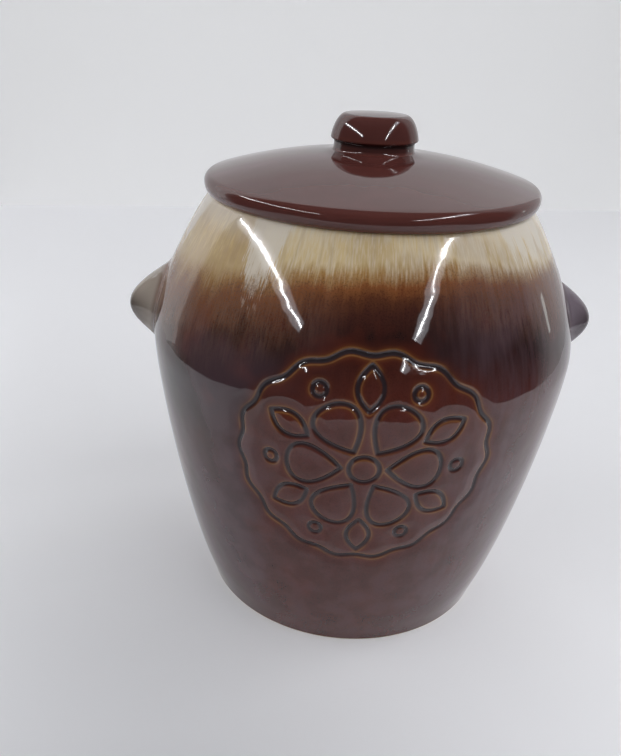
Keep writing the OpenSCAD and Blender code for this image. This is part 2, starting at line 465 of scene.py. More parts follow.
@dataclass(frozen=True)
class DripGlaze(Finish):
    """Brown stoneware glaze under a frothing cream glaze that ran down from the rim.

    The iron-brown glaze is a thick dark glass: nearly black where the two
    glazes melted together, warm brown below, amber where it thins over an edge.
    The cream one breaks up in fine upright streaks and ends in golden brown.
    """

    name: str = "drip_glaze"
    # Colours by height above the foot of the runs, in metres
    runs: tuple[tuple[float, str], ...] = (
        (-0.046, "#5a2a23"),
        (-0.036, "#46211c"),
        (-0.026, "#2c1412"),
        (-0.018, "#2e1613"),
        (-0.011, "#48251c"),
        (-0.006, "#623822"),
        (-0.001, "#8c5631"),
        (0.004, "#b68c54"),
        (0.008, "#e2ca9a"),
        (0.013, "#e6cd9b"),
        (0.022, "#f2e0bb"),
    )
    froth: str = "#efe5d6"
    ochre: str = "#a07a45"
    haze: str = "#8b7468"
    deep: str = "#1e0d0d"
    # Bluish bloom of the dark glass, mixed with painted reflection of the pale table and room
    bloom_and_reflection: str = "#6b555d"
    # Height of the runs' foot at its highest, where that is, how fast it falls away, and how
    # much higher it lies inside the mouth
    runs_top: float = 0.1960
    runs_mid: float = 0.016
    runs_fall: float = 0.62
    runs_power: float = 1.5
    runs_inside: float = 0.012
    # How much further down a lug the cream would have to run to colour it
    lug_drop: float = 0.032
    # The runs are softer and longer on the side of -X
    softness: Zone = Zone("soft", "x", -0.095, -0.01, 0.6)
    # How far each noise moves the foot of the runs
    sways: tuple[tuple[str, float], ...] = (("fine", 0.0035), ("broad", 0.006), ("cloud", 0.010))
    # White tongues of froth: turn from the front and half width at the rim in degrees,
    # and the height of the tip
    white_runs: tuple[tuple[float, float, float], ...] = (
        (-35.0, 7.5, 0.182),
        (42.0, 3.0, 0.199),
        (47.0, 3.4, 0.195),
        (53.0, 4.6, 0.192),
        (60.0, 4.0, 0.196),
        (-78.0, 7.0, 0.188),
        (118.0, 5.0, 0.186),
        (171.0, 6.5, 0.190),
        (-131.0, 5.0, 0.187),
    )
    rim: float = 0.2115
    # Noises: what they are drawn on, their size in metres and their detail. Those on the flow
    # are streaks, so many times longer than wide
    noises: tuple[tuple[str, str, float, float], ...] = (
        ("fine", "flow", 0.0009, 2.0),
        ("broad", "flow", 0.0042, 3.0),
        ("cloud", "place", 0.018, 2.0),
        ("grain", "place", 0.0007, 2.0),
        ("drift", "place", 0.042, 2.0),
        ("mottle", "place", 0.012, 6.0),
        ("swell", "place", 1 / 90, 1.0),
    )
    stretch: float = 5.5
    zones: tuple[Zone, ...] = (
        Zone("cream", "above", -0.001, 0.009),
        Zone("under", "above", -0.025, -0.006),
        Zone("below", "above", -0.034, -0.052),
        Zone("side", "aside", 0.008, 0.064),
        Zone("left", "x", -0.035, -0.065),
        Zone("right", "x", 0.010, 0.055),
        Zone("paler", "x", -0.02, 0.05, 0.2),
        Zone("patchy", "cloud", 0.42, 0.60, 0.1, "LINEAR"),
        Zone("pressed", "face", 0.0, 0.02, 0.0, "LINEAR"),
    )
    tints: tuple[Tint, ...] = (
        # Ochre patches and threads, then pale threads and white tongues of froth, in the cream
        Tint(ochre, "cloud", 0.45, 0.68, 0.4, ("cream",)),
        Tint(ochre, "broad", 0.45, 0.70, 0.35, ("cream",)),
        Tint(froth, "fine", 0.40, 0.72, 0.4, ("cream",)),
        Tint(froth, "broad", 0.36, 0.60, 0.5, ("cream", "paler")),
        Tint("#b98d55", "fine", 0.34, 0.62, 0.45, ("cream", "left")),
        Tint(froth, "z", rim - 0.012, rim, 0.5, ("cream", "side")),
        Tint(froth, "white", 0.0, 1.0, 0.8),
        # Grey-beige haze of fine froth below the runs, towards the two lugs
        Tint("#835a43", "fine", 0.20, 0.62, 0.6, ("side", "under", "dark")),
        Tint(haze, "grain", 0.36, 0.66, 0.4, ("side", "under", "dark")),
        Tint(haze, "broad", 0.48, 0.74, 0.25, ("side", "under", "dark")),
        Tint(deep, "above", -0.006, -0.012, 0.55, ("left",)),
        # The dark glass: grains that stayed deep, slow rusty clouds, and a bluish bloom that is partly
        # the glass's own and partly painted reflection of the pale table and room on the lower body,
        # its sides and its right
        Tint(deep, "grain", 0.46, 0.70, 0.35, ("dark",)),
        Tint("#652718", "cloud", 0.50, 0.74, 0.35, ("dark",)),
        Tint(bloom_and_reflection, "mottle", 0.34, 0.70, 0.2, ("below",)),
        Tint(bloom_and_reflection, "drift", 0.46, 0.66, 0.35, ("side", "dark")),
        Tint(bloom_and_reflection, "broad", 0.25, 0.70, 0.32, ("right", "dark")),
        Tint(deep, "mottle", 0.56, 0.36, 0.2, ("below",)),
        # Froth settled on the lugs, with painted reflection in it: paler and warm on the left lug,
        # bluish grey on the right. Each lug goes nearly black on its lower half, which is plain dark
        # glass below the froth together with painted shade under the lug
        Tint("#bfb2a5", "stand", 0.0, 0.25, 0.9, ("left",)),
        Tint("#8a7e88", "stand", 0.0, 0.25, 0.9, ("right",)),
        Tint(deep, "z", 0.163, 0.150, 0.9, ("stand",)),
        # Warmer glass on the faces of the pressed panel
        Tint("#6a2f1c", "face", 0.0, 1.0, 0.2, ("dark",)),
    )
    # The dark pool in each pressed line
    groove: Tint = Tint("#28262b", "seam", 0.0013, 0.0006, 0.8, ("pressed",))
    # How the glass breaks beside a pressed line, by the distance from it in metres
    amber: tuple[tuple[float, str, float], ...] = (
        (0.0, "#7a4a22", 0.0),
        (0.0010, "#7a4a22", 0.2),
        (0.0015, "#98693a", 0.7),
        (0.0021, "#7c4524", 0.4),
        (0.0034, "#6c2f1a", 0.15),
        (0.0060, "#6c2f1a", 0.0),
    )
    # The belly's radius, and how strongly the glass bends light
    radius: float = 0.106
    ior: float = 1.52
    # Depth of the pits in the froth, height of the slow swell, and the roughness of the dark
    # glass and of the cream
    pit_depth: float = 0.000012
    swell_height: float = 0.00013
    gloss: tuple[float, float] = (0.042, 0.045)

    def read(self, tree: Tree, place: Socket) -> Values:
        """Adds what the glaze follows: coordinates, marks of the mesh and noises.

        Args:
            tree: The material's tree.
            place: The place on the piece.

        Returns:
            The values by name.
        """
        x, _, z = add(tree, "ShaderNodeSeparateXYZ", {0: place}).outputs
        level = add(tree, "ShaderNodeVectorMath", {0: place, 1: (1, 1, 0)}, operation="MULTIPLY")
        level = add(tree, "ShaderNodeVectorMath", {0: level}, operation="NORMALIZE")
        values = {"x": x, "z": z, "place": place, "level": level}
        values["aside"] = add(tree, "ShaderNodeMath", {0: x}, operation="ABSOLUTE")
        for mark in ("inside", "stand", "seam", "face"):
            values[mark] = add(tree, "ShaderNodeAttribute", attribute_name=mark).outputs["Fac"]
        # Streaks run upright over wall and lugs alike: round the jar they are drawn
        # at the belly's radius, and in height they are stretched
        girth = add(tree, "ShaderNodeVectorMath", {0: level, "Scale": self.radius}, operation="SCALE")
        upright = (0, 0, 1 / self.stretch)
        lift = add(tree, "ShaderNodeVectorMath", {0: place, 1: upright}, operation="MULTIPLY")
        values["flow"] = add(tree, "ShaderNodeVectorMath", {0: girth, 1: lift}, operation="ADD")
        for name, base, size, detail in self.noises:
            sockets = {"Vector": values[base], "Scale": 1 / size, "Detail": detail}
            values[name] = add(tree, "ShaderNodeTexNoise", sockets)
        return values

    def above(self, tree: Tree, values: Values) -> Node:
        """Adds the height above the foot of the runs, which sinks towards the two lugs."""
        off = add(tree, "ShaderNodeMath", {0: values["x"], 1: self.runs_mid}, operation="SUBTRACT")
        off = add(tree, "ShaderNodeMath", {0: off}, operation="ABSOLUTE")
        off = add(tree, "ShaderNodeMath", {0: off, 1: self.runs_power}, operation="POWER")
        soft = self.softness.find(tree, values)
        above = values["z"]
        for value, factor, rest in (
            (off, self.runs_fall, -self.runs_top),
            (values["inside"], -self.runs_inside, 0.0),
            (values["stand"], -self.lug_drop, 0.0),
        ):
            part = add(tree, "ShaderNodeMath", {0: value, 1: factor, 2: rest}, operation="MULTIPLY_ADD")
            above = add(tree, "ShaderNodeMath", {0: above, 1: part}, operation="ADD")
        above = add(tree, "ShaderNodeMath", {0: above, 1: soft}, operation="MULTIPLY")
        for noise, reach in self.sways:
            sockets = {0: values[noise], 1: reach, 2: -0.5 * reach}
            sway = add(tree, "ShaderNodeMath", sockets, operation="MULTIPLY_ADD")
            above = add(tree, "ShaderNodeMath", {0: above, 1: sway}, operation="ADD")
        return above

    def white(self, tree: Tree, values: Values) -> Any:
        """Adds the white tongues, which threads of froth fray and which narrow to their tips."""
        white: Any = 0.0
        for turn, width, tip in self.white_runs:
            away = (math.sin(math.radians(turn)), -math.cos(math.radians(turn)), 0)
            near = add(
                tree, "ShaderNodeVectorMath", {0: values["level"], 1: away}, operation="DOT_PRODUCT"
            )
            room = 1 - math.cos(math.radians(width))
            fray = add(
                tree,
                "ShaderNodeMath",
                {0: values["fine"], 1: 1.5 * room, 2: near.outputs["Value"]},
                operation="MULTIPLY_ADD",
            )
            heights = {"Value": values["z"], "From Min": tip, "From Max": self.rim, "To Max": room}
            fall = add(tree, "ShaderNodeMapRange", heights, clamp=False)
            tongue = add(tree, "ShaderNodeMath", {0: fray, 1: fall}, operation="ADD")
            edge = Zone("band", "tongue", 1 + 0.60 * room, 1 + 1.15 * room)
            band = edge.find(tree, {"tongue": tongue})
            white = add(tree, "ShaderNodeMath", {0: white, 1: band}, operation="ADD")
        return white

    def press(self, tree: Tree, colour: Any, values: Values) -> Any:
        """Lays amber beside each pressed line, and a dark pool in it."""
        reach = self.amber[-1][0]
        share = add(tree, "ShaderNodeMapRange", {"Value": values["seam"], "From Max": reach})
        amber = add(tree, "ShaderNodeValToRGB", {0: share})
        paint_ramp(amber, tuple((d / reach, c, a) for d, c, a in self.amber))
        share = amber.outputs["Alpha"]
        for limit in ("patchy", "pressed"):
            share = add(tree, "ShaderNodeMath", {0: share, 1: values[limit]}, operation="MULTIPLY")
        mix = {"Factor": share, "A": colour, "B": amber.outputs["Color"]}
        return lay(tree, add(tree, "ShaderNodeMix", mix, data_type="RGBA"), (self.groove,), values)

    def paint(self, tree: Tree, place: Socket) -> Node:
        """Adds the nodes of the glaze on the jar and its lugs."""
        values = self.read(tree, place)
        values["above"] = self.above(tree, values)
        for zone in self.zones:
            values[zone.name] = zone.find(tree, values)
        cream = values["cream"]
        values["dark"] = add(tree, "ShaderNodeMath", {0: 1.0, 1: cream}, operation="SUBTRACT")
        values["white"] = self.white(tree, values)

        low, high = self.runs[0][0], self.runs[-1][0]
        heights = {"Value": values["above"], "From Min": low, "From Max": high}
        ramp = add(tree, "ShaderNodeValToRGB", {0: add(tree, "ShaderNodeMapRange", heights)})
        paint_ramp(ramp, tuple(((h - low) / (high - low), c, 1.0) for h, c in self.runs))
        colour = lay(tree, ramp.outputs["Color"], self.tints, values)
        colour = self.press(tree, colour, values)

        # The froth's skin is finely pitted, and the whole glaze flowed a little uneven
        pits = add(tree, "ShaderNodeMath", {0: values["grain"], 1: cream}, operation="MULTIPLY")
        pitted = {"Strength": 1.0, "Distance": self.pit_depth, "Height": pits}
        swollen = {
            "Strength": 1.0,
            "Distance": self.swell_height,
            "Height": values["swell"],
            "Normal": add(tree, "ShaderNodeBump", pitted),
        }
        gloss = {"Value": cream, "To Min": self.gloss[0], "To Max": self.gloss[1]}
        surface = {
            "Base Color": colour,
            "Roughness": add(tree, "ShaderNodeMapRange", gloss),
            "IOR": self.ior,
            "Normal": add(tree, "ShaderNodeBump", swollen),
        }
        return add(tree, "ShaderNodeBsdfPrincipled", surface)


@dataclass(frozen=True)
class BrownGlaze(Finish):
    """Iron-brown stoneware glaze by itself, a dark maroon glass as on the lid."""

    name: str = "brown_glaze"
    body: str = "#58302c"
    # Slow clouds, then thin glaze on each edge and thick glaze in each hollow
    tints: tuple[Tint, ...] = (
        Tint("#5f3430", "drift", 0.40, 0.70, 0.7),
        Tint("#60332d", "pool", 0.0, -1.0, 1.0),
        Tint("#1f0f10", "pool", 0.0, 1.0, 1.0),
    )
    noises: tuple[tuple[str, float, float], ...] = (("drift", 0.018, 3.0), ("swell", 0.014, 1.0))
    swell_height: float = 0.00008
    gloss: tuple[float, float] = (0.045, 0.075)
    ior: float = 1.52

    def paint(self, tree: Tree, place: Socket) -> Node:
        """Adds the nodes of the glaze on the lid and its knob."""
        values = {"pool": add(tree, "ShaderNodeAttribute", attribute_name="pool").outputs["Fac"]}
        for name, size, detail in self.noises:
            sockets = {"Vector": place, "Scale": 1 / size, "Detail": detail}
            values[name] = add(tree, "ShaderNodeTexNoise", sockets)
        skin = {"Strength": 1.0, "Distance": self.swell_height, "Height": values["swell"]}
        gloss = {"Value": values["drift"], "To Min": self.gloss[0], "To Max": self.gloss[1]}
        surface = {
            "Base Color": lay(tree, linear(self.body), self.tints, values),
            "Roughness": add(tree, "ShaderNodeMapRange", gloss),
            "IOR": self.ior,
            "Normal": add(tree, "ShaderNodeBump", skin),
        }
        return add(tree, "ShaderNodeBsdfPrincipled", surface)


@dataclass(frozen=True)
class BareClay(Finish):
    """Fired buff stoneware wiped clean of glaze, dry and faintly gritty."""

    name: str = "bare_clay"
    clay: str = "#cdb995"
    grog: Tint = Tint("#8f7350", "grit", 0.55, 0.75, 1.0)
    grain: float = 0.0006
    grain_height: float = 0.00005
    roughness: float = 0.85

    def paint(self, tree: Tree, place: Socket) -> Node:
        """Adds the nodes of the foot ring and the lid's seat."""
        sockets = {"Vector": place, "Scale": 1 / self.grain, "Detail": 3.0}
        grit = add(tree, "ShaderNodeTexNoise", sockets)
        skin = {"Strength": 1.0, "Distance": self.grain_height, "Height": grit}
        surface = {
            "Base Color": lay(tree, linear(self.clay), (self.grog,), {"grit": grit}),
            "Roughness": self.roughness,
            "Normal": add(tree, "ShaderNodeBump", skin),
        }
        return add(tree, "ShaderNodeBsdfPrincipled", surface)


@dataclass(frozen=True)
class PalePaint(Finish):
    """Matte pale paint on the table and the wall behind it.

    To the eye and in reflections it is a little brighter than its light makes
    it, so that the background is pale with no more light on the jar. The glow is
    weaker round one spot, which paints a soft shadow there and painted light
    further off.
    """

    name: str
    colour: str
    # How much brighter, as a share of white, at a spot of painted shade and away from it, and the
    # distances from that spot over which painted light takes over
    glow_in: float
    glow_out: float
    painted_shade_at: tuple[float, float, float]
    painted_shade_from: float
    painted_shade_to: float
    roughness: float = 0.7

    def paint(self, tree: Tree, place: Socket) -> Node:
        """Adds the nodes of one painted surface."""
        ray = add(tree, "ShaderNodeLightPath")
        seen = ray.outputs["Is Camera Ray"]
        for way in ("Is Glossy Ray", "Is Transmission Ray"):
            seen = add(tree, "ShaderNodeMath", {0: seen, 1: ray.outputs[way]}, operation="MAXIMUM")
        away = add(tree, "ShaderNodeVectorMath", {0: place, 1: self.painted_shade_at}, operation="DISTANCE")
        glow = add(
            tree,
            "ShaderNodeMapRange",
            {
                "Value": away.outputs["Value"],
                "From Min": self.painted_shade_from,
                "From Max": self.painted_shade_to,
                "To Min": self.glow_in,
                "To Max": self.glow_out,
            },
        )
        glow = add(tree, "ShaderNodeMath", {0: glow, 1: seen}, operation="MULTIPLY")
        return add(
            tree,
            "ShaderNodeBsdfPrincipled",
            {
                "Base Color": linear(self.colour),
                "Roughness": self.roughness,
                "Emission Color": linear(self.colour),
                "Emission Strength": glow,
            },
        )


@dataclass
class FlowerPanel:
    """Six-petalled flower with leaves and berries in a rippled frame, pressed into the wall.

    The lines are set out on the unrolled wall about the panel's middle, and
    each point of the wall sinks by its distance from the nearest line.
    """

    turn: float = math.radians(-2.0)
    height: float = 0.1185
    radius: float = 0.1055
    # Half widths and depths of the line itself and of the soft dip along it
    line: float = 0.0016
    depth: float = 0.0008
    dip: float = 0.0070
    dip_depth: float = 0.0008
    petals: int = 6
    petal_start: float = 0.0100
    petal_length: float = 0.0240
    petal_width: float = 0.0200
    button: float = 0.0066
    leaf_start: float = 0.0285
    leaf_length: float = 0.0185
    leaf_width: float = 0.0110
    berry_out: float = 0.0415
    berry: float = 0.0030
    frame_width: float = 0.1140
    frame_height: float = 0.1030
    ripples: float = 18.0
    ripple: float = 0.018
    # The hand-finished wall is never quite round
    wave: float = 0.00025
    wave_length: float = 0.034
    # Where its wave is full: away from the foot, the rim and the two lugs
    wavy: tuple[Zone, ...] = (
        Zone("above_foot", "z", 0.010, 0.030),
        Zone("below_rim", "z", 0.205, 0.190),
        Zone("between_lugs", "aside", 0.098, 0.085),
    )
    # Where the panel's face ends, as a share of its frame's half widths
    face_edge: Zone = Zone("face", "share", 1.12, 0.92, 0.0, "LINEAR")

    def leaf(self, tree: Tree, start: float, length: float, width: float, tip: float) -> Node:
        """Adds the nodes of one leaf or petal, lying along X.

        Args:
            tree: The tree.
            start: Where it starts along X.
            length: How long it is.
            width: Its width at its widest.
            tip: 0 for a petal that is round outside, 1 for a leaf with two points.

        Returns:
            The node that gives the closed line.
        """
        ring = add(tree, "GeometryNodeMeshCircle", {"Vertices": 48, "Radius": 1.0})
        spot = add(tree, "GeometryNodeInputPosition")
        x, y, _ = add(tree, "ShaderNodeSeparateXYZ", {0: spot}).outputs
        out = add(tree, "ShaderNodeMapRange", {"Value": x, "From Min": 1.0, "From Max": -1.0})
        along = add(tree, "ShaderNodeMath", {0: out, 1: length, 2: start}, operation="MULTIPLY_ADD")
        # A petal is widest towards its outer end, a leaf halfway
        swell = 0.5 * (1 - tip)
        out = add(tree, "ShaderNodeMath", {0: out, 1: swell}, operation="POWER")
        sharp = add(tree, "ShaderNodeMath", {0: y}, operation="ABSOLUTE")
        sharp = add(tree, "ShaderNodeMath", {0: sharp, 1: tip}, operation="POWER")
        half = 0.5 * width * (1 + 0.6 * swell)
        across = add(tree, "ShaderNodeMath", {0: y, 1: half}, operation="MULTIPLY")
        for part in (out, sharp):
            across = add(tree, "ShaderNodeMath", {0: across, 1: part}, operation="MULTIPLY")
        place = add(tree, "ShaderNodeCombineXYZ", {0: along, 1: across})
        return add(tree, "GeometryNodeSetPosition", {0: ring, "Position": place})

    def wreath(self, tree: Tree, motif: Node, count: Socket, shift: float) -> Node:
        """Adds a motif all round the panel's middle.

        Args:
            tree: The tree.
            motif: The node that gives the motif, lying along X.
            count: The socket that gives how many there are.
            shift: The first one's turn from +X, as a share of the turn between two.

        Returns:
            The node that gives them all.
        """
        pitch = add(tree, "ShaderNodeMath", {0: 2 * math.pi, 1: count}, operation="DIVIDE")
        index = add(tree, "GeometryNodeInputIndex")
        place = add(tree, "ShaderNodeMath", {0: index, 1: shift}, operation="ADD")
        angle = add(tree, "ShaderNodeMath", {0: place, 1: pitch}, operation="MULTIPLY")
        euler = add(tree, "ShaderNodeCombineXYZ", {2: angle})
        return add(
            tree,
            "GeometryNodeInstanceOnPoints",
            {
                "Points": add(tree, "GeometryNodePoints", {"Count": count}),
                "Instance": motif,
                "Rotation": add(tree, "FunctionNodeEulerToRotation", {0: euler}),
            },
        )

    def frame(self, tree: Tree) -> Node:
        """Adds the nodes of the rippled oval line round the panel."""
        ring = add(tree, "GeometryNodeMeshCircle", {"Vertices": 256, "Radius": 1.0})
        spot = add(tree, "GeometryNodeInputPosition")
        x, y, _ = add(tree, "ShaderNodeSeparateXYZ", {0: spot}).outputs
        angle = add(tree, "ShaderNodeMath", {0: y, 1: x}, operation="ARCTAN2")
        angle = add(tree, "ShaderNodeMath", {0: angle, 1: self.ripples}, operation="MULTIPLY")
        ripple = add(tree, "ShaderNodeMath", {0: angle}, operation="COSINE")
        ripple = add(
            tree, "ShaderNodeMath", {0: ripple, 1: self.ripple, 2: 1.0}, operation="MULTIPLY_ADD"
        )
        half = (self.frame_width / 2, self.frame_height / 2, 0)
        oval = add(tree, "ShaderNodeVectorMath", {0: spot, 1: half}, operation="MULTIPLY")
        oval = add(tree, "ShaderNodeVectorMath", {0: oval, "Scale": ripple}, operation="SCALE")
        return add(tree, "GeometryNodeSetPosition", {0: ring, "Position": oval})

    def lines(self, tree: Tree, petals: Socket) -> Node:
        """Adds the nodes of every line of the panel, flat about its middle.

        Args:
            tree: The tree.
            petals: The socket that gives the count of petals.

        Returns:
            The node that gives all lines as edges.
        """
        petal = self.leaf(tree, self.petal_start, self.petal_length, self.petal_width, 0.0)
        leaf = self.leaf(tree, self.leaf_start, self.leaf_length, self.leaf_width, 1.0)
        berry = add(tree, "GeometryNodeMeshCircle", {"Vertices": 24, "Radius": self.berry})
        berry = add(tree, "GeometryNodeTransform", {0: berry, "Translation": (self.berry_out, 0, 0)})
        button = add(tree, "GeometryNodeMeshCircle", {"Vertices": 40, "Radius": self.button})
        parts = [
            self.wreath(tree, petal, petals, 0.0),
            self.wreath(tree, leaf, petals, 0.5),
            self.wreath(tree, berry, petals, 0.0),
            button,
            self.frame(tree),
        ]
        joined = add(tree, "GeometryNodeJoinGeometry", {0: parts})
        return add(tree, "GeometryNodeRealizeInstances", {0: joined})

    def tree(self) -> Tree:
        """Builds the tree that presses the panel into a thrown wall.

        Returns:
            The tree, with the count of petals, the size of the lines, the slow
            wave of the wall and the two finishes as named inputs.
        """
        tree, given = geometry_tree(
            "Pressed panel",
            {
                "Petals": "NodeSocketInt",
                "Line Width": "NodeSocketFloat",
                "Line Depth": "NodeSocketFloat",
                "Dip Width": "NodeSocketFloat",
                "Dip Depth": "NodeSocketFloat",
                "Wave Height": "NodeSocketFloat",
                "Glaze": "NodeSocketMaterial",
                "Clay": "NodeSocketMaterial",
            },
        )
        g = given.outputs
        place = add(tree, "GeometryNodeInputPosition")
        x, y, z = add(tree, "ShaderNodeSeparateXYZ", {0: place}).outputs
        back = add(tree, "ShaderNodeMath", {0: y, 1: -1.0}, operation="MULTIPLY")
        turn = add(tree, "ShaderNodeMath", {0: x, 1: back}, operation="ARCTAN2")
        turn = add(tree, "ShaderNodeMath", {0: turn, 1: self.turn}, operation="SUBTRACT")
        along = add(tree, "ShaderNodeMath", {0: turn, 1: self.radius}, operation="MULTIPLY")
        up = add(tree, "ShaderNodeMath", {0: z, 1: self.height}, operation="SUBTRACT")
        flat = add(tree, "ShaderNodeCombineXYZ", {0: along, 1: up})
        away = add(
            tree,
            "GeometryNodeProximity",
            {0: self.lines(tree, g["Petals"]), "Sample Position": flat},
            target_element="EDGES",
        ).outputs["Distance"]

        # Only the wall's outer face is pressed
        normal = add(tree, "GeometryNodeInputNormal")
        level = add(tree, "ShaderNodeVectorMath", {0: place, 1: (1, 1, 0)}, operation="MULTIPLY")
        facing = add(tree, "ShaderNodeVectorMath", {0: level, 1: normal}, operation="DOT_PRODUCT")
        outer = add(tree, "FunctionNodeCompare", {"A": facing.outputs["Value"], "B": 0.001})

        noise = add(
            tree, "ShaderNodeTexNoise", {"Vector": place, "Scale": 1 / self.wave_length, "Detail": 1.0}
        )
        sunk = add(tree, "ShaderNodeMath", {0: noise, 1: g["Wave Height"]}, operation="MULTIPLY")
        aside = add(tree, "ShaderNodeMath", {0: x}, operation="ABSOLUTE")
        for zone in self.wavy:
            share = zone.find(tree, {"z": z, "aside": aside})
            sunk = add(tree, "ShaderNodeMath", {0: sunk, 1: share}, operation="MULTIPLY")
        for width, depth in (("Line Width", "Line Depth"), ("Dip Width", "Dip Depth")):
            part = add(
                tree,
                "ShaderNodeMapRange",
                {"Value": away, "From Max": g[width], "To Min": g[depth], "To Max": 0.0},
                interpolation_type="SMOOTHSTEP",
            )
            sunk = add(tree, "ShaderNodeMath", {0: sunk, 1: part}, operation="ADD")
        sunk = add(tree, "ShaderNodeMath", {0: sunk, 1: outer}, operation="MULTIPLY")
        sunk = add(tree, "ShaderNodeMath", {0: sunk, 1: -1.0}, operation="MULTIPLY")
        push = add(tree, "ShaderNodeVectorMath", {0: normal, "Scale": sunk}, operation="SCALE")

        # How far each point lies from a line, and how surely inside the frame
        size = (2 / self.frame_width, 2 / self.frame_height, 0)
        share = add(tree, "ShaderNodeVectorMath", {0: flat, 1: size}, operation="MULTIPLY")
        share = add(tree, "ShaderNodeVectorMath", {0: share}, operation="LENGTH")
        face = self.face_edge.find(tree, {"share": share.outputs["Value"]})
        face = add(tree, "ShaderNodeMath", {0: face, 1: outer}, operation="MULTIPLY")
        form = g["Geometry"]
        for mark, value in (("seam", away), ("face", face)):
            form = add(
                tree,
                "GeometryNodeStoreNamedAttribute",
                {0: form, "Name": mark, "Value": value},
                data_type="FLOAT",
            )
        form = add(tree, "GeometryNodeSetPosition", {0: form, "Offset": push})
        dress(tree, form, g)
        return tree

    def press(self, piece: Piece, glaze: Material, clay: Material) -> Piece:
        """Presses the panel into a thrown piece.

        Args:
            piece: The thrown wall, which this takes the place of.
            glaze: The finish of the wall.
            clay: The finish of what is bare.

        Returns:
            The piece with its panel.
        """
        name, mesh = piece.name, piece.data
        bpy.data.objects.remove(piece)
        return grow(
            name,
            mesh,
            self.tree(),
            {
                "Petals": self.petals,
                "Line Width": self.line,
                "Line Depth": self.depth,
                "Dip Width": self.dip,
                "Dip Depth": self.dip_depth,
                "Wave Height": self.wave,
                "Glaze": glaze,
                "Clay": clay,
            },
        )


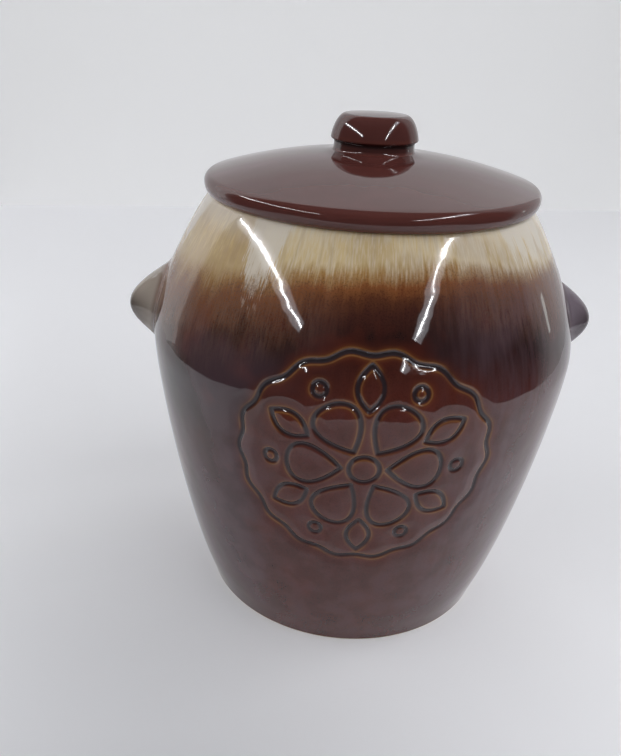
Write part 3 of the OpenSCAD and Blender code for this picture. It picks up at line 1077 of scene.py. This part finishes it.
@dataclass
class JarBody:
    """Slip-cast pot with a foot ring, a full belly and an open mouth."""

    height: float = 0.2115
    foot_radius: float = 0.0785
    foot_round: float = 0.001
    foot_lean: float = math.radians(17)
    foot_blend: float = 0.014
    foot_ring: float = 0.007
    foot_recess: float = 0.003
    base_radius: float = 0.0799
    base_height: float = 0.0063
    base_lean: float = math.radians(22)
    base_fullness: float = 0.0346
    belly_radius: float = 0.106
    belly_height: float = 0.143
    flank_fullness: float = 0.0209
    shoulder_fullness: float = 0.0207
    collar_fullness: float = 0.0107
    collar_lean: float = math.radians(44.4)
    rim_radius: float = 0.0767
    wall: float = 0.0065
    floor: float = 0.010
    floor_round: float = 0.014
    mouth_radius: float = 0.0665
    throat: float = 0.004
    rim_round: float = 0.0014
    # Rows of the mesh on the outer wall: three stretches by height, with their spacing
    panel_low: float = 0.060
    panel_high: float = 0.178
    panel_row: float = 0.0007
    plain_row: float = 0.0022
    glaze_line: float = 0.0008
    columns: int = 296
    front_sector: float = math.radians(72)
    front_share: float = 0.66
    panel: FlowerPanel = field(default_factory=FlowerPanel)

    def wall_path(self, steps: int) -> np.ndarray:
        """Gives points up the wall's outer face, from the foot to the rim."""
        base, belly = (self.base_radius, self.base_height), (self.belly_radius, self.belly_height)
        rim = (self.rim_radius, self.height)
        heel = beyond(base, self.base_fullness, self.base_lean)
        flank = (belly[0], belly[1] - self.flank_fullness)
        shoulder = (belly[0], belly[1] + self.shoulder_fullness)
        collar = beyond(rim, -self.collar_fullness, -self.collar_lean)
        low = bezier([base, heel, flank, belly], steps)
        high = bezier([belly, shoulder, collar, rim], steps)
        return np.concatenate([low, high[1:]])

    def radius_at(self, height: np.ndarray) -> np.ndarray:
        """Gives the radius of the wall's outer face at each height."""
        path = self.wall_path(1500)
        return np.interp(height, path[:, 1], path[:, 0])

    def outline(self) -> Outline:
        """Gives the half section, from the middle of the underside to that of the floor."""
        rim_height = self.height - self.rim_round
        collar = math.degrees(self.collar_lean)
        rim_mid = (
            self.rim_radius
            - self.rim_round * (1 - math.sin(self.collar_lean)) / math.cos(self.collar_lean),
            rim_height,
        )
        rim_low = rim_height + self.rim_round * math.sin(self.collar_lean)
        heights = np.concatenate(
            [
                np.arange(self.foot_blend, self.panel_low, self.plain_row),
                np.arange(self.panel_low, self.panel_high, self.panel_row),
                np.arange(self.panel_high, rim_low - 0.5 * self.rim_round, 0.6 * self.plain_row),
            ]
        )
        wall = list(zip(self.radius_at(heights), heights))
        ring = self.foot_radius - self.foot_ring
        under = [(0.0, self.foot_recess), (0.5 * ring, self.foot_recess)]
        under += [(ring - self.foot_recess, self.foot_recess), (ring, 0.0)]
        foot = quarter(
            (self.foot_radius - self.foot_round, 0.0), (self.foot_radius, self.foot_round), 6
        )
        # The wall's lowest stretch leans out from the foot ring into the flank
        low, top = (
            np.array([float(self.radius_at(z)), z]) for z in (self.foot_blend, self.foot_blend + 0.001)
        )
        way = (top - low) / math.hypot(*(top - low))
        lean = np.array([math.sin(self.foot_lean), math.cos(self.foot_lean)])
        reach = (self.foot_blend - self.foot_round) / 3
        ends = [foot[-1], foot[-1] + reach * lean, low - reach * way, low]
        foot += [tuple(p) for p in bezier(ends, 10)[1:-1]]
        rim = arc(rim_mid, self.rim_round, collar, 90, 6)
        rim += arc((self.mouth_radius + self.rim_round, rim_height), self.rim_round, 90, 180, 6)

        # The inner face lies one wall's thickness inside the outer one
        path = self.wall_path(24)
        way = np.gradient(path, axis=0)
        way /= np.hypot(*way.T)[:, None]
        inner = path + self.wall * np.stack([-way[:, 1], way[:, 0]], axis=1)
        bend_top = self.floor + self.floor_round * (1 - math.sin(self.base_lean))
        inner = [
            (r, z)
            for r, z in inner
            if bend_top + 0.001 < z < self.height - self.throat and r > self.mouth_radius
        ]
        run = (inner[0][1] - bend_top) / math.cos(self.base_lean)
        bend_mid = (
            inner[0][0]
            - run * math.sin(self.base_lean)
            - self.floor_round * math.cos(self.base_lean),
            self.floor + self.floor_round,
        )
        hollow = [(self.mouth_radius, self.height - self.throat)] + inner[::-1]
        hollow += arc(bend_mid, self.floor_round, -math.degrees(self.base_lean), -90, 8)
        hollow += [(0.5 * bend_mid[0], self.floor), (0.0, self.floor)]
        points = under + foot + wall + rim + hollow
        first = len(points) - len(hollow)
        return Outline(
            points,
            bare=[ring <= r <= self.base_radius and z < self.glaze_line for r, z in points],
            inside=[i >= first for i in range(len(points))],
        )

    def build(self, wheel: Tree, glaze: Material, clay: Material) -> Piece:
        """Throws the body and presses its panel.

        Args:
            wheel: The tree that turns an outline.
            glaze: The drip glaze.
            clay: The bare clay.

        Returns:
            The dressed body.
        """
        piece = grow(
            "jar_body_glazed",
            self.outline().mesh("jar_body_outline"),
            wheel,
            {
                "Columns": self.columns,
                "Front Sector": self.front_sector,
                "Front Share": self.front_share,
                "Glaze": glaze,
                "Clay": clay,
            },
        )
        piece = self.panel.press(piece, glaze, clay)
        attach(piece, "jar")
        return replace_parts(piece, "jar_body")


@dataclass
class Lug:
    """Ear-shaped lug that swells out of the wall halfway up its side."""

    body: JarBody
    side: Side
    reach: float = 0.01455
    height: float = 0.0404
    rise: float = 0.0102
    thickness: float = 0.0175
    end_thickness: float = 0.010
    blend: float = 0.0022
    power: float = 3.0
    # How fast the arch sinks into the wall beyond its two ends
    sink: float = 1.2
    # Half sizes of the patch, its mesh, and how deep its edge and its back lie in the wall
    half_width: float = 0.0205
    half_height: float = 0.0300
    step: float = 0.0005
    bed: float = 0.00003
    root: float = 0.003

    def swelling(self, y: np.ndarray, z: np.ndarray) -> np.ndarray:
        """Gives how far the lug stands out of the wall.

        Args:
            y: Distance from the lug's middle plane.
            z: Height above the lug's middle.

        Returns:
            The distance out from the wall's face.
        """
        bow = np.cos(np.pi * np.minimum(np.abs(z) / self.height, 1.0))
        bow -= self.sink * np.maximum(np.abs(z) / self.height - 1.0, 0.0)
        arch = bow * self.reach
        half = (self.end_thickness + (self.thickness - self.end_thickness) * np.maximum(bow, 0)) / 2
        fade = math.log(2) * (np.abs(y) / half) ** self.power
        rise = (arch + np.sqrt(arch**2 + self.blend**2)) / 2
        end = np.clip((self.half_height - np.abs(z)) / (self.half_height - self.height / 2), 0, 1)
        return rise * np.exp(-fade) * end * end * (3 - 2 * end) - self.bed

    def build(self, glaze: Material) -> Piece:
        """Makes the lug as a closed shell that dips into the wall all round.

        Args:
            glaze: The drip glaze.

        Returns:
            The dressed lug.
        """
        node = f"lug_{self.side.name.lower()}"
        columns = round(2 * self.half_width / self.step)
        rows = round(2 * self.half_height / self.step)
        y, z = np.meshgrid(
            np.linspace(-self.half_width, self.half_width, columns + 1),
            np.linspace(-self.half_height, self.half_height, rows + 1),
        )
        level = z + self.body.belly_height + self.rise
        wall = np.sqrt(self.body.radius_at(level) ** 2 - y**2)
        swollen = self.swelling(y, z)
        tip = wall + swollen
        faces: list[tuple[int, ...]] = []
        vertices: list[tuple[float, float, float]] = []
        count = y.size
        for x in (tip, wall - self.root):
            vertices += list(zip((x * self.side.value).ravel(), y.ravel(), level.ravel()))
        across = columns + 1
        for j in range(rows):
            for i in range(columns):
                a = j * across + i
                b = a + across
                faces.append((a, a + 1, b + 1, b))
                faces.append((count + a, count + b, count + b + 1, count + a + 1))
        rim = list(range(across))
        rim += [j * across + columns for j in range(1, rows + 1)]
        rim += [rows * across + i for i in range(columns - 1, -1, -1)]
        rim += [j * across for j in range(rows - 1, 0, -1)]
        for a, b in zip(rim, rim[1:] + rim[:1]):
            faces.append((b, a, count + a, count + b))
        mesh = bpy.data.meshes.new(node)
        mesh.from_pydata(vertices, [], faces)
        shell = bmesh.new()
        shell.from_mesh(mesh)
        bmesh.ops.recalc_face_normals(shell, faces=shell.faces)
        shell.to_mesh(mesh)
        shell.free()
        stand = np.concatenate([np.clip(swollen / self.reach, 0, 1).ravel(), np.zeros(count)])
        mark_points(mesh, "stand", stand)
        mesh.shade_smooth()
        mesh.materials.append(glaze)
        piece = put(f"{node}_glazed", mesh)
        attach(piece, "jar")
        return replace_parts(piece, node)


@dataclass
class Knob:
    """Button knob: foot, waist, lip and cushion top with leaning sides."""

    radius: float = 0.02075
    height: float = 0.01709
    foot_radius: float = 0.0202
    foot_cove: float = 0.0025
    waist_radius: float = 0.0191
    lip_height: float = 0.0058
    lip_round: float = 0.0008
    undercut: float = 0.0014
    lean: float = math.radians(10)
    fullness: float = 0.0064
    brow: float = 0.0028
    top_radius: float = 0.014
    crown: float = 0.0006
    columns: int = 144

    def outline(self, pad: float) -> Outline:
        """Gives the half section, from the middle of the foot to that of the top.

        Args:
            pad: The height of the flat that the knob stands on.

        Returns:
            The closed outline.
        """
        lip, top = pad + self.lip_height, pad + self.height - self.crown
        edge = self.radius - self.lip_round
        points = [(0.0, pad)]
        points += quarter((self.foot_radius, pad), (self.waist_radius, pad + self.foot_cove), 8)
        under, waist = lip - self.lip_round, lip - self.lip_round - self.undercut
        points += quarter((edge, under), (self.waist_radius, waist), 12)[::-1]
        points += arc((edge, lip), self.lip_round, -90, math.degrees(self.lean), 8)[1:]
        side = points[-1]
        handle = beyond(side, self.fullness, -self.lean)
        ends = [side, handle, (self.top_radius + self.brow, top), (self.top_radius, top)]
        points += [tuple(p) for p in bezier(ends, 28)[1:]]
        shares = np.linspace(1, 0, 9)[1:]
        points += [(self.top_radius * s, top + self.crown * (1 - s * s)) for s in shares]
        plain = [False] * len(points)
        return Outline(points, plain, plain)


@dataclass
class Lid:
    """Domed lid with a rolled edge, a seat flange and a locating ring under it."""

    seat: float = 0.2115
    radius: float = 0.080
    seat_radius: float = 0.0772
    edge_round: float = 0.004
    dome_radius: float = 0.255
    crown: float = 0.0207
    wall: float = 0.006
    ring_depth: float = 0.009
    ring_thickness: float = 0.005
    ring_radius: float = 0.065
    ring_cove: float = 0.003
    # Flat that the knob stands on, and the soft rise of the dome round it
    pad_radius: float = 0.0203
    flare_radius: float = 0.028
    flare_height: float = 0.0004
    columns: int = 220
    knob: Knob = field(default_factory=Knob)

    def top_height(self, radius: float) -> float:
        """Gives the height of the lid's top face at a radius, outside the knob."""
        middle = self.seat + self.crown - self.dome_radius
        share = (self.flare_radius - radius) / (self.flare_radius - self.pad_radius)
        flare = self.flare_height * max(0.0, share) ** 3
        return middle + math.sqrt(self.dome_radius**2 - radius**2) + flare

    def outline(self) -> Outline:
        """Gives the half section, from the middle of the underside to that of the top."""
        middle = self.seat + self.crown - self.dome_radius
        inner = self.ring_radius - self.ring_thickness
        under_radius = self.dome_radius - self.wall
        cove_radius = inner - self.ring_cove
        under_turn = math.asin(cove_radius / under_radius)
        cove_height = middle + under_radius * math.cos(under_turn)
        turns = np.linspace(0, under_turn, 15)[:-1]
        points = [(under_radius * math.sin(t), middle + under_radius * math.cos(t)) for t in turns]
        points += quarter((cove_radius, cove_height), (inner, cove_height - self.ring_cove), 6)
        half = self.ring_thickness / 2
        points += arc((inner + half, self.seat - self.ring_depth + half), half, 180, 360, 12)
        points += [(self.ring_radius, self.seat)]
        edge_radius = self.radius - self.edge_round
        edge_height = middle + math.sqrt((self.dome_radius - self.edge_round) ** 2 - edge_radius**2)
        points += quarter((self.seat_radius, self.seat), (self.radius, edge_height), 8)
        top_turn = math.asin(edge_radius / (self.dome_radius - self.edge_round))
        points += arc(
            (edge_radius, edge_height), self.edge_round, 0, 90 - math.degrees(top_turn), 12
        )[1:]
        rim = self.dome_radius * math.sin(top_turn)
        for radius in (
            *np.linspace(rim, self.flare_radius, 25)[1:],
            *np.linspace(self.flare_radius, self.pad_radius, 13)[1:],
        ):
            points.append((radius, self.top_height(radius)))
        points.append((0.0, self.top_height(self.pad_radius)))
        return Outline(
            points,
            bare=[self.ring_radius <= r <= self.seat_radius and z == self.seat for r, z in points],
            inside=[False] * len(points),
        )

    def build(self, wheel: Tree, glaze: Material, clay: Material) -> list[Piece]:
        """Throws the lid and its knob.

        Args:
            wheel: The tree that turns an outline.
            glaze: The brown glaze.
            clay: The bare clay.

        Returns:
            The dressed lid and knob.
        """
        pad = self.top_height(self.pad_radius)
        pieces = []
        for node, outline, columns in (
            ("lid", self.outline(), self.columns),
            ("lid_knob", self.knob.outline(pad), self.knob.columns),
        ):
            piece = grow(
                f"{node}_glazed",
                outline.mesh(f"{node}_outline"),
                wheel,
                {
                    "Columns": columns,
                    "Front Sector": math.pi,
                    "Front Share": 0.5,
                    "Glaze": glaze,
                    "Clay": clay,
                },
            )
            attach(piece, "lid")
            pieces.append(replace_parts(piece, node))
        return pieces


@dataclass(frozen=True)
class Lamp:
    """A flat rectangular light."""

    name: str
    width: float
    length: float
    radiance: float
    colour: Colour

    def hang(self, at: Vector, way: Vector, back: Vector, room: Matrix) -> Piece:
        """Adds the light to the scene.

        Args:
            at: Its middle.
            way: The way its length runs.
            back: The way its back faces.
            room: The turn from the room's axes to the jar's.

        Returns:
            The light.
        """
        data = bpy.data.lights.new(self.name, "AREA")
        data.shape = "RECTANGLE"
        data.size, data.size_y = self.width, self.length
        data.energy = self.radiance * math.pi * self.width * self.length
        data.color = self.colour
        lamp = put(self.name, data)
        axes = Matrix((way.cross(back), way, back)).transposed().to_4x4()
        lamp.matrix_world = room @ Matrix.Translation(at) @ axes
        return lamp


@dataclass(frozen=True)
class LampRow:
    """A row of fluorescent tubes under the ceiling, end to end with small gaps.

    Longer and wider lights round them stand for the white reflector over the
    tubes and for the ceiling that it lights.
    """

    # Front end of the row, in the room's axes, and its turn from the room's Y axis
    start: tuple[float, float]
    turn: float
    tubes: int
    tube: float = 0.62
    gap: float = 0.05
    width: float = 0.024
    height: float = 1.5
    radiance: float = 84.0
    tube_colour: Colour = (1.0, 1.0, 1.0)
    # Width and radiance of the reflector and of the lit ceiling
    halo: tuple[tuple[float, float], ...] = ((0.09, 5.4), (0.25, 2.7))
    halo_colour: Colour = (0.89, 0.93, 1.0)

    def hang(self, name: str, room: Matrix) -> None:
        """Hangs the tubes and their reflector, each facing the jar.

        Args:
            name: The first part of the lamps' names.
            room: The turn from the room's axes to the jar's.
        """
        way = Vector((-math.sin(self.turn), math.cos(self.turn), 0))
        first = Vector((*self.start, self.height))
        # Each tube is turned about its own length until it faces the jar
        back = first - first.dot(way) * way
        back.normalize()
        pitch = self.tube + self.gap
        whole = self.tubes * pitch
        parts = [(self.width, self.tube, (i + 0.5) * pitch, self.radiance) for i in range(self.tubes)]
        parts += [(width, whole, 0.5 * whole, radiance) for width, radiance in self.halo]
        for i, (width, length, along, radiance) in enumerate(parts):
            colour = self.tube_colour if i < self.tubes else self.halo_colour
            lamp = Lamp(f"{name}_{i}", width, length, radiance, colour)
            lamp.hang(first + along * way, way, back, room)


@dataclass
class Studio:
    """Pale table against a pale wall, in a room that is dim behind the camera.

    Two rows of ceiling tubes run from front to back over the table. The jar
    stands turned a little from the room, so the room is set out in its own
    axes and turned about the jar.
    """

    room_turn: float = math.radians(-5.58)
    # Camera: distance and height, then its aim, all in the room's axes
    camera_reach: float = 0.3626
    camera_height: float = 0.2838
    camera_pitch: float = math.radians(25.608)
    camera_roll: float = math.radians(-2.806)
    camera_yaw: float = math.radians(-3.891)
    lens: float = 34.993
    # Table: front and back edge, and half its width at each
    table: tuple[float, float] = (-0.46, 1.3)
    table_half: tuple[float, float] = (0.50, 0.68)
    table_thickness: float = 0.03
    # Wall behind: a point of it, its turn, its two ends from there, and its top and its foot
    wall_at: tuple[float, float] = (-0.101, 0.903)
    wall_turn: float = math.radians(13.9)
    wall_span: tuple[float, float] = (-1.6, 0.86)
    wall_height: float = 1.66
    wall_foot: float = -0.2
    wall_thickness: float = 0.02
    board_edge: float = 0.003
    rows: tuple[LampRow, ...] = (
        LampRow((-1.70, -2.74), math.radians(8.1), 5),
        LampRow((1.91, -3.42), math.radians(14.0), 6, tube=0.59),
    )
    # Far window to the right: where it is, and its width and height
    window_at: tuple[float, float, float] = (1.29, 0.60, 0.19)
    window: Lamp = Lamp("window", 0.07, 0.19, 1.6, (0.90, 1.0, 0.97))
    # Glow of the room: behind and beside the camera, ahead of it, and above. The first passes
    # into the second between two levels of the way's Y, and the second into the third of its Z
    dim: float = 0.07
    bright: float = 0.62
    ceiling: float = 0.12
    walls_start: tuple[float, float] = (0.15, 0.45)
    walls_end: tuple[float, float] = (0.84, 0.74)
    glow: tuple[float, float, float, float] = (0.97, 0.98, 1.0, 1.0)

    def room(self) -> Matrix:
        """Gives the turn from the room's axes to the jar's."""
        return Matrix.Rotation(self.room_turn, 4, "Z")

    def place_camera(self) -> None:
        """Makes the camera, which looks down at the jar from close by."""
        camera = put("camera", bpy.data.cameras.new("camera"))
        camera.data.lens = self.lens
        camera.data.clip_start = 0.01
        aim = (
            Matrix.Rotation(-self.camera_yaw, 4, "Z")
            @ Matrix.Rotation(math.pi / 2 - self.camera_pitch, 4, "X")
            @ Matrix.Rotation(-self.camera_roll, 4, "Z")
        )
        stand = Matrix.Translation((0, -self.camera_reach, self.camera_height))
        camera.matrix_world = self.room() @ stand @ aim
        bpy.context.scene.camera = camera

    def slab(
        self, name: str, low: Vector, high: Vector, turn: Matrix, paint: Material, taper: float = 1.0
    ) -> Piece:
        """Makes a board with softened edges.

        Args:
            name: The board's name.
            low: Its lowest corner.
            high: Its highest corner.
            turn: Where it goes from there.
            paint: Its finish.
            taper: Its width in front, as a share of that at the back.

        Returns:
            The board.
        """
        mesh = bpy.data.meshes.new(name)
        board = bmesh.new()
        bmesh.ops.create_cube(board, size=1.0)
        size = high - low
        for vertex in board.verts:
            vertex.co = Vector(low[i] + size[i] * (vertex.co[i] + 0.5) for i in range(3))
            vertex.co.x *= taper if vertex.co.y == low.y else 1.0
        bmesh.ops.bevel(
            board, geom=board.edges[:], offset=self.board_edge, segments=3, affect="EDGES", profile=0.5
        )
        board.to_mesh(mesh)
        board.free()
        mesh.transform(turn)
        mesh.materials.append(paint)
        piece = put(name, mesh)
        return piece

    def build_boards(self) -> None:
        """Makes the table and the wall behind it."""
        front, back = self.table
        near, far = self.table_half
        # The table glows least round a spot in front of the jar and to its left: a painted shadow, with
        # painted light rising away from it
        self.slab(
            "table",
            Vector((-far, front, -self.table_thickness)),
            Vector((far, back, 0.0)),
            self.room(),
            PalePaint(
                "table_paint",
                "#e3e3e6",
                glow_in=0.0,
                glow_out=0.355,
                painted_shade_at=(-0.08, -0.19, 0.0),
                painted_shade_from=0.03,
                painted_shade_to=0.25,
            ).material(),
            near / far,
        )
        start, end = self.wall_span
        stand = Matrix.Translation((*self.wall_at, 0)) @ Matrix.Rotation(self.wall_turn, 4, "Z")
        # The wall glows less round a spot low behind the jar and more towards its top and ends: painted
        # light
        self.slab(
            "back_wall",
            Vector((start, 0, self.wall_foot)),
            Vector((end, self.wall_thickness, self.wall_height)),
            self.room() @ stand,
            PalePaint(
                "wall_paint",
                "#ebebec",
                glow_in=0.35,
                glow_out=0.84,
                painted_shade_at=(-0.08, 0.90, 0.12),
                painted_shade_from=0.62,
                painted_shade_to=1.12,
            ).material(),
        )

    def light_window(self) -> None:
        """Lights the far window, which shows only as a glint on the glaze."""
        at = Vector(self.window_at)
        back = Vector((at.x, at.y, 0)).normalized()
        lamp = self.window.hang(at, Vector((0, 0, 1)), back, self.room())
        lamp.visible_camera = False

    def light_room(self) -> None:
        """Hangs the lamps and gives the room pale walls and a dim near side."""
        for i, row in enumerate(self.rows):
            row.hang(f"lamps_{i}", self.room())
        self.light_window()
        world = bpy.data.worlds.new("room")
        bpy.context.scene.world = world
        world.use_nodes = True
        tree = world.node_tree
        tree.nodes.clear()
        way = add(tree, "ShaderNodeTexCoord").outputs["Generated"]
        turned = {"Vector": way, "Angle": -self.room_turn}
        way = add(tree, "ShaderNodeVectorRotate", turned, rotation_type="Z_AXIS")
        _, y, z = add(tree, "ShaderNodeSeparateXYZ", {0: way}).outputs
        level: Any = self.bright
        for value, (start, full), outside in (
            (y, self.walls_start, self.dim), (z, self.walls_end, self.ceiling)
        ):
            sockets = {
                "Value": value, "From Min": start, "From Max": full, "To Min": outside, "To Max": level
            }
            level = add(tree, "ShaderNodeMapRange", sockets, interpolation_type="SMOOTHSTEP")
        glow = add(tree, "ShaderNodeBackground", {"Color": self.glow, "Strength": level})
        add(tree, "ShaderNodeOutputWorld", {"Surface": glow})


def main() -> None:
    """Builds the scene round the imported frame."""
    logging.basicConfig(level=logging.INFO, format="%(name)s: %(message)s")
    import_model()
    studio = Studio()
    studio.place_camera()
    bpy.context.scene.view_settings.view_transform = "Standard"

    drip, brown, clay = (finish.material() for finish in (DripGlaze(), BrownGlaze(), BareClay()))
    wheel = Wheel().tree()
    body = JarBody()
    pieces = [body.build(wheel, drip, clay)]
    pieces += [Lug(body, side).build(drip) for side in Side]
    pieces += Lid().build(wheel, brown, clay)
    for piece in pieces:
        corners = len(piece.data.vertices)
        LOG.info("%s: %d vertices, %d faces", piece.name, corners, len(piece.data.polygons))

    studio.build_boards()
    studio.light_room()


if __name__ == "__main__":
    main()
